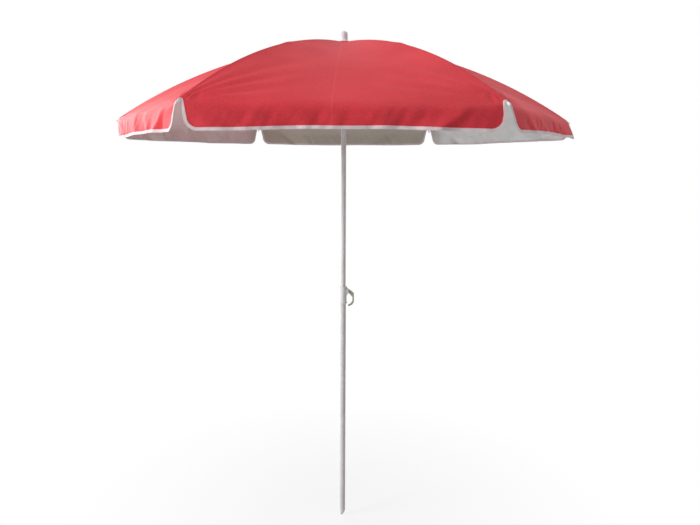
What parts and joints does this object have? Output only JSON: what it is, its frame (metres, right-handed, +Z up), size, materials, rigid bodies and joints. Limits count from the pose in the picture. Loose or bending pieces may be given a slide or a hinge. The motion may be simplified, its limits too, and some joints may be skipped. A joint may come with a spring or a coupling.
{
  "type": "beach umbrella",
  "caption": "Beach umbrella with a spiked telescopic pole, curved hinged ribs, a sliding runner, a hook-handled clamp and a red silver-backed canopy with a white-bound hanging hem.",
  "frame": {"origin": "on the pole axis at the point of the spike", "axes": "+Z up the pole, -Y towards the middle of the front panel, +X towards the hook"},
  "size_m": [1.7098, 1.4816, 1.9432],
  "materials": {
    "white_paint": "gloss paint",
    "white_plastic": "moulded",
    "hook_plastic": "moulded",
    "steel": "white coated steel",
    "red_fabric": "woven polyester, silver coated underneath"
  },
  "bodies": {
    "lower_pole": {"lower_tube": "white_paint", "ground_spike": "white_plastic", "pole_collar": "white_plastic", "clamp_pad": "white_plastic"},
    "hook_screw": {"hook_screw": "hook_plastic"},
    "upper_pole": {"upper_tube": "white_paint", "tube_guide_bush": "white_plastic", "runner_catch": "steel", "crown": "white_plastic", "crown_hinge_pins": "steel", "canopy_patch": "red_fabric", "finial": "white_plastic"},
    "runner": {"runner": "white_plastic", "runner_hinge_pins": "steel"},
    "rib_1": {"rib_1": "steel", "rib_tip_1": "white_plastic", "rib_clip_1": "steel", "clip_rivet_1": "steel", "canopy_sector_1": "red_fabric"},
    "stretcher_1": {"stretcher_1": "steel"},
    "rib_2": {"rib_2": "steel", "rib_tip_2": "white_plastic", "rib_clip_2": "steel", "clip_rivet_2": "steel", "canopy_sector_2": "red_fabric"},
    "stretcher_2": {"stretcher_2": "steel"},
    "rib_3": {"rib_3": "steel", "rib_tip_3": "white_plastic", "rib_clip_3": "steel", "clip_rivet_3": "steel", "canopy_sector_3": "red_fabric"},
    "stretcher_3": {"stretcher_3": "steel"},
    "rib_4": {"rib_4": "steel", "rib_tip_4": "white_plastic", "rib_clip_4": "steel", "clip_rivet_4": "steel", "canopy_sector_4": "red_fabric"},
    "stretcher_4": {"stretcher_4": "steel"},
    "rib_5": {"rib_5": "steel", "rib_tip_5": "white_plastic", "rib_clip_5": "steel", "clip_rivet_5": "steel", "canopy_sector_5": "red_fabric"},
    "stretcher_5": {"stretcher_5": "steel"},
    "rib_6": {"rib_6": "steel", "rib_tip_6": "white_plastic", "rib_clip_6": "steel", "clip_rivet_6": "steel", "canopy_sector_6": "red_fabric"},
    "stretcher_6": {"stretcher_6": "steel"}
  },
  "joints": [
    {"name": "height_slide", "type": "slide", "parent": "lower_pole", "child": "upper_pole", "axis": [0, 0, 1], "range_m": [-0.18, 0.12]},
    {"name": "hook_screw_turn", "type": "hinge", "parent": "lower_pole", "child": "hook_screw", "pos_m": [0.02, 0, 0.966], "axis": [1, 0, 0], "range_deg": [0, 360]},
    {"name": "canopy_fold", "type": "hinge", "parent": "upper_pole", "child": "rib_1", "pos_m": [0.022, 0, 1.897], "axis": [0, 1, 0], "range_deg": [0, 62], "deforming": ["canopy_sector_1", "canopy_sector_2", "canopy_sector_3", "canopy_sector_4", "canopy_sector_5", "canopy_sector_6", "runner_catch"]},
    {"name": "stretcher_1_fold", "type": "hinge", "parent": "rib_1", "child": "stretcher_1", "pos_m": [0.36256, 0, 1.82742], "axis": [0, 1, 0], "range_deg": [-124, 0]},
    {"name": "rib_2_fold", "type": "hinge", "parent": "upper_pole", "child": "rib_2", "pos_m": [0.011, 0.01905, 1.897], "axis": [-0.866, 0.5, 0], "range_deg": [0, 62]},
    {"name": "stretcher_2_fold", "type": "hinge", "parent": "rib_2", "child": "stretcher_2", "pos_m": [0.18128, 0.31399, 1.82742], "axis": [-0.866, 0.5, 0], "range_deg": [-124, 0]},
    {"name": "rib_3_fold", "type": "hinge", "parent": "upper_pole", "child": "rib_3", "pos_m": [-0.011, 0.01905, 1.897], "axis": [-0.866, -0.5, 0], "range_deg": [0, 62]},
    {"name": "stretcher_3_fold", "type": "hinge", "parent": "rib_3", "child": "stretcher_3", "pos_m": [-0.18128, 0.31399, 1.82742], "axis": [-0.866, -0.5, 0], "range_deg": [-124, 0]},
    {"name": "rib_4_fold", "type": "hinge", "parent": "upper_pole", "child": "rib_4", "pos_m": [-0.022, 0, 1.897], "axis": [0, -1, 0], "range_deg": [0, 62]},
    {"name": "stretcher_4_fold", "type": "hinge", "parent": "rib_4", "child": "stretcher_4", "pos_m": [-0.36256, 0, 1.82742], "axis": [0, -1, 0], "range_deg": [-124, 0]},
    {"name": "rib_5_fold", "type": "hinge", "parent": "upper_pole", "child": "rib_5", "pos_m": [-0.011, -0.01905, 1.897], "axis": [0.866, -0.5, 0], "range_deg": [0, 62]},
    {"name": "stretcher_5_fold", "type": "hinge", "parent": "rib_5", "child": "stretcher_5", "pos_m": [-0.18128, -0.31399, 1.82742], "axis": [0.866, -0.5, 0], "range_deg": [-124, 0]},
    {"name": "rib_6_fold", "type": "hinge", "parent": "upper_pole", "child": "rib_6", "pos_m": [0.011, -0.01905, 1.897], "axis": [0.866, 0.5, 0], "range_deg": [0, 62]},
    {"name": "stretcher_6_fold", "type": "hinge", "parent": "rib_6", "child": "stretcher_6", "pos_m": [0.18128, -0.31399, 1.82742], "axis": [0.866, 0.5, 0], "range_deg": [-124, 0]},
    {"name": "runner_slide_turn", "type": "hinge", "parent": "stretcher_1", "child": "runner", "pos_m": [0.022, 0, 1.75784], "axis": [0, 1, 0], "range_deg": [0, 62]}
  ],
  "couplings": [
    {"joint": "stretcher_1_fold", "follows": "canopy_fold", "ratio": -2},
    {"joint": "rib_2_fold", "follows": "canopy_fold", "ratio": 1},
    {"joint": "stretcher_2_fold", "follows": "canopy_fold", "ratio": -2},
    {"joint": "rib_3_fold", "follows": "canopy_fold", "ratio": 1},
    {"joint": "stretcher_3_fold", "follows": "canopy_fold", "ratio": -2},
    {"joint": "rib_4_fold", "follows": "canopy_fold", "ratio": 1},
    {"joint": "stretcher_4_fold", "follows": "canopy_fold", "ratio": -2},
    {"joint": "rib_5_fold", "follows": "canopy_fold", "ratio": 1},
    {"joint": "stretcher_5_fold", "follows": "canopy_fold", "ratio": -2},
    {"joint": "rib_6_fold", "follows": "canopy_fold", "ratio": 1},
    {"joint": "stretcher_6_fold", "follows": "canopy_fold", "ratio": -2},
    {"joint": "runner_slide_turn", "follows": "canopy_fold", "ratio": 1}
  ]
}
